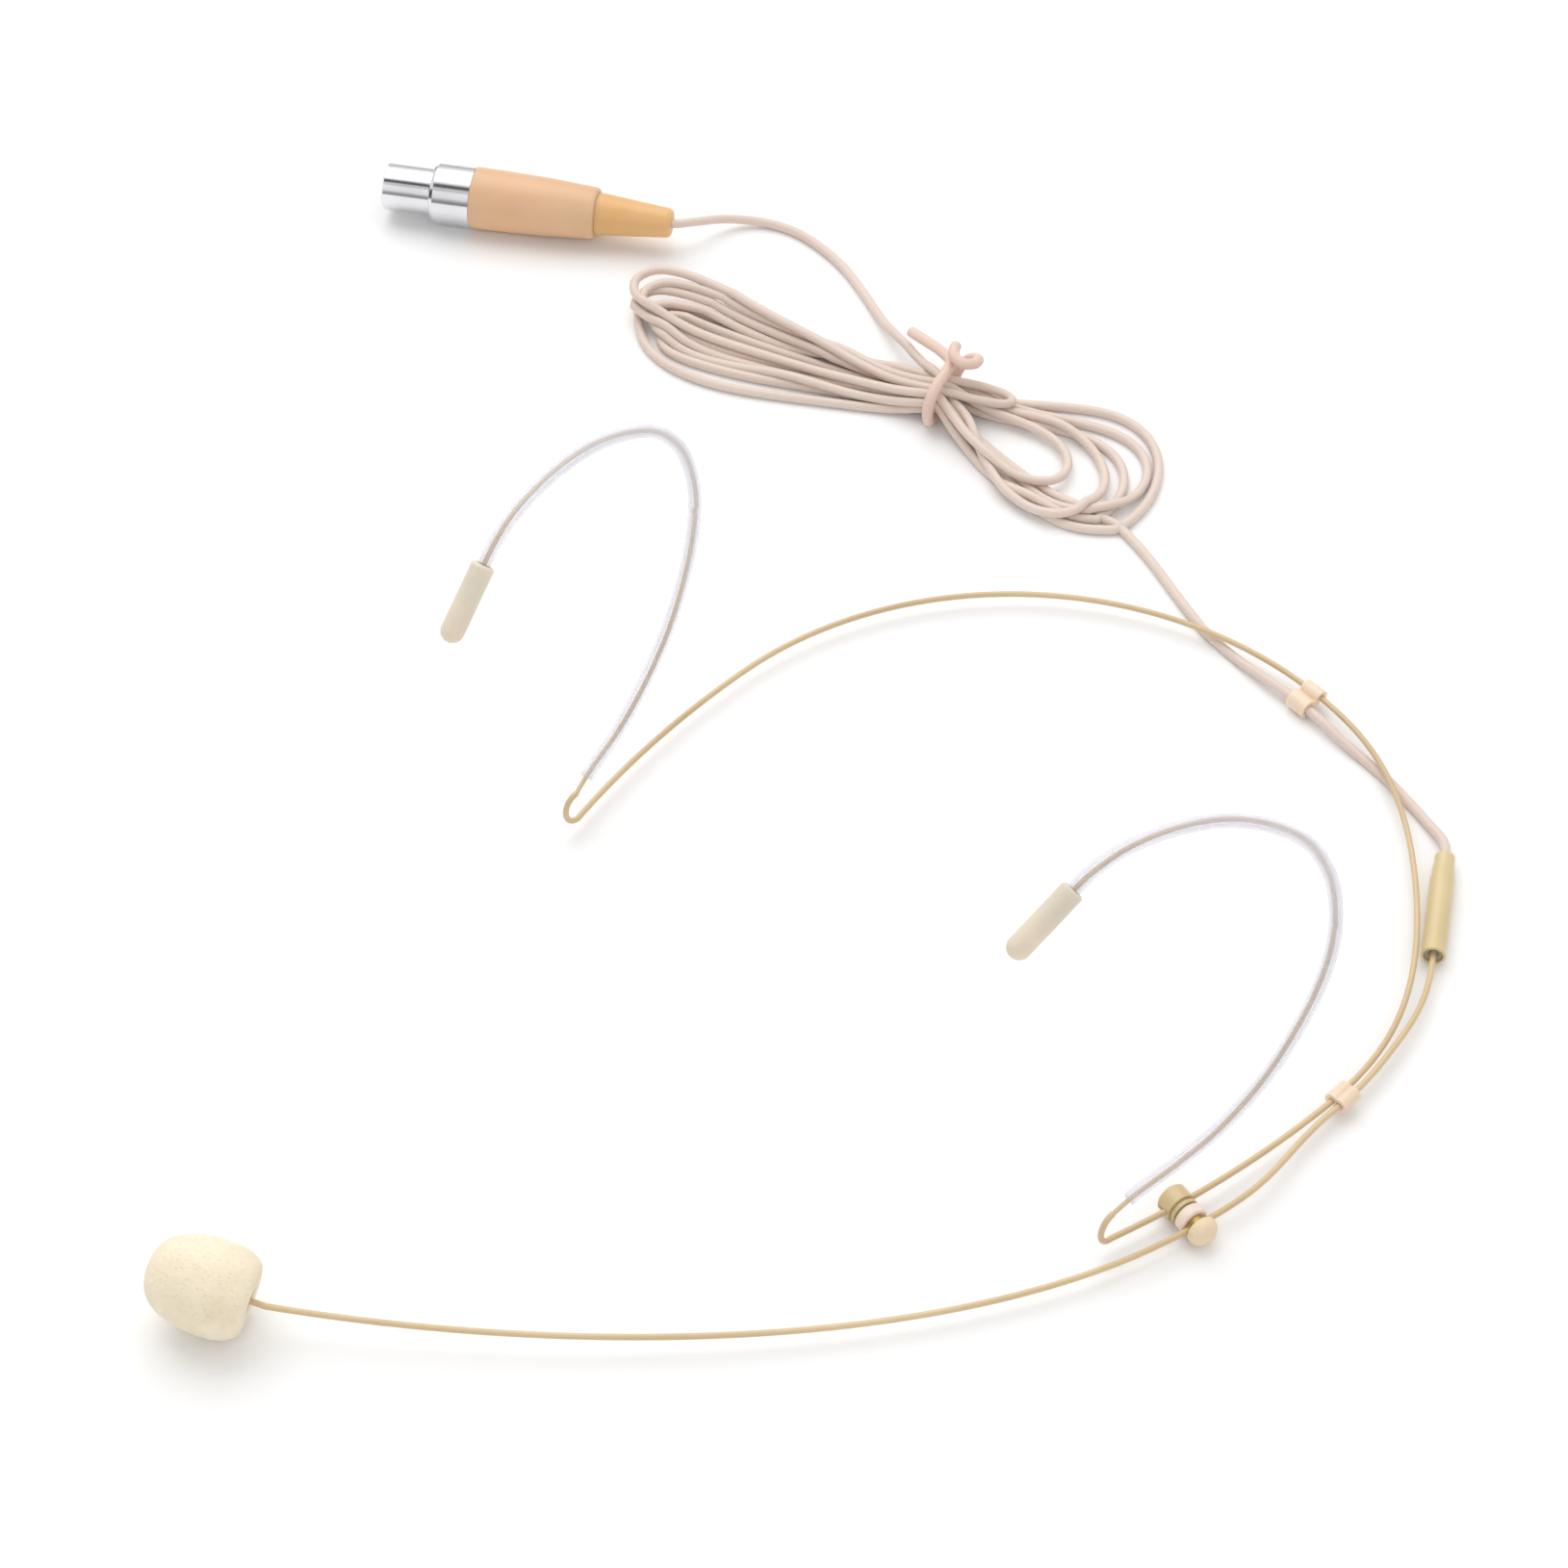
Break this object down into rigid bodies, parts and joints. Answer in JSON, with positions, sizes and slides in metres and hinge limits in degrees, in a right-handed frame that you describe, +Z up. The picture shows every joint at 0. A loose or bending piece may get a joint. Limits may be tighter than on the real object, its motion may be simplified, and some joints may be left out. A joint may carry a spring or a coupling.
{
  "type": "headset microphone",
  "caption": "Dual-ear headset microphone: wire neckband and sleeved ear hooks, swivelling boom with a foam windscreen, and a tied hank of cable with a locking plug.",
  "frame": {"origin": "middle of the headset's footprint on the surface, without the cable and what is on it", "axes": "+Z up from the surface; the wearer would face -Y; +X is the side that carries the boom"},
  "size_m": [0.2451, 0.2223, 0.0793],
  "materials": {
    "band_lacquer": "satin golden beige lacquer on spring steel",
    "hook_lacquer": "satin golden beige lacquer on spring steel",
    "clear_silicone": "clear, glossy",
    "cap_silicone": "milky, semi-matte",
    "clip_plastic": "satin moulded",
    "clamp_paint": "satin",
    "clamp_steel": "fine turned",
    "clamp_brass": "dark, fine turned",
    "ring_plastic": "satin moulded",
    "cap_paint": "matte",
    "boom_lacquer": "satin beige lacquer",
    "ferrule_paint": "satin",
    "ferrule_resin": "matte",
    "black_rubber": "matte",
    "capsule_black": "matte",
    "capsule_metal": "plain",
    "foam": "open-cell foam",
    "cable_jacket": "satin pinkish beige",
    "tie_jacket": "satin",
    "plug_plating": "bright plated",
    "insert_plastic": "satin moulded",
    "contact_plating": "bright plated",
    "latch_steel": "fine brushed",
    "sleeve_plastic": "satin, faint lengthwise marks",
    "boot_rubber": "satin, faintly translucent",
    "collet_plastic": "moulded"
  },
  "bodies": {
    "headset": {"neck_wire": "band_lacquer", "left_hook_wire": "hook_lacquer", "right_hook_wire": "hook_lacquer", "left_hook_sleeve": "clear_silicone", "right_hook_sleeve": "clear_silicone", "left_tip_cap": "cap_silicone", "right_tip_cap": "cap_silicone", "clamp_base": "clamp_paint", "clamp_washer": "clamp_steel", "boom_rear": "boom_lacquer", "ferrule_shell": "ferrule_paint", "ferrule_insert": "ferrule_resin", "cable_gland": "black_rubber", "cable_lead": "cable_jacket", "cable_hank": "cable_jacket", "cable_tail": "cable_jacket", "hank_tie": "tie_jacket", "plug_shell": "plug_plating", "plug_insert": "insert_plastic", "plug_contacts": "contact_plating", "latch_pin": "latch_steel", "plug_sleeve": "sleeve_plastic", "plug_boot": "boot_rubber", "cable_clamp": "collet_plastic"},
    "boom": {"clamp_post": "clamp_brass", "clamp_ring": "ring_plastic", "clamp_cap": "cap_paint", "boom_front": "boom_lacquer", "capsule_housing": "capsule_black", "capsule_element": "capsule_metal", "capsule_grille": "capsule_black", "capsule_gasket": "black_rubber"},
    "windscreen": {"windscreen": "foam"},
    "latch": {"latch_lever": "latch_steel"},
    "rear_clip": {"rear_clip": "clip_plastic"},
    "side_clip": {"side_clip": "clip_plastic"}
  },
  "joints": [
    {"name": "boom_swivel", "type": "hinge", "parent": "headset", "child": "boom", "pos_m": [0.05866, 0.01243, 0.0024], "axis": [-0.9837, 0.18, 0], "range_deg": [0, 45]},
    {"name": "windscreen_pull", "type": "slide", "parent": "boom", "child": "windscreen", "axis": [-0.8384, -0.5038, 0.2079], "range_m": [0, 0.014]},
    {"name": "latch_press", "type": "hinge", "parent": "headset", "child": "latch", "pos_m": [-0.16667, 0.08811, 0.00507], "axis": [0, 0, 1], "range_deg": [0, 3.4], "stiffness_Nm_per_rad": 0.3, "springref_deg": -5.73},
    {"name": "rear_clip_slide", "type": "hinge", "parent": "headset", "child": "rear_clip", "pos_m": [-0.0016, 0.041, 0.0024], "axis": [0, 0, 1], "range_deg": [-4, 4]},
    {"name": "side_clip_slide", "type": "hinge", "parent": "headset", "child": "side_clip", "pos_m": [-0.0016, 0.041, 0.0024], "axis": [0, 0, 1], "range_deg": [-1, 5]}
  ]
}
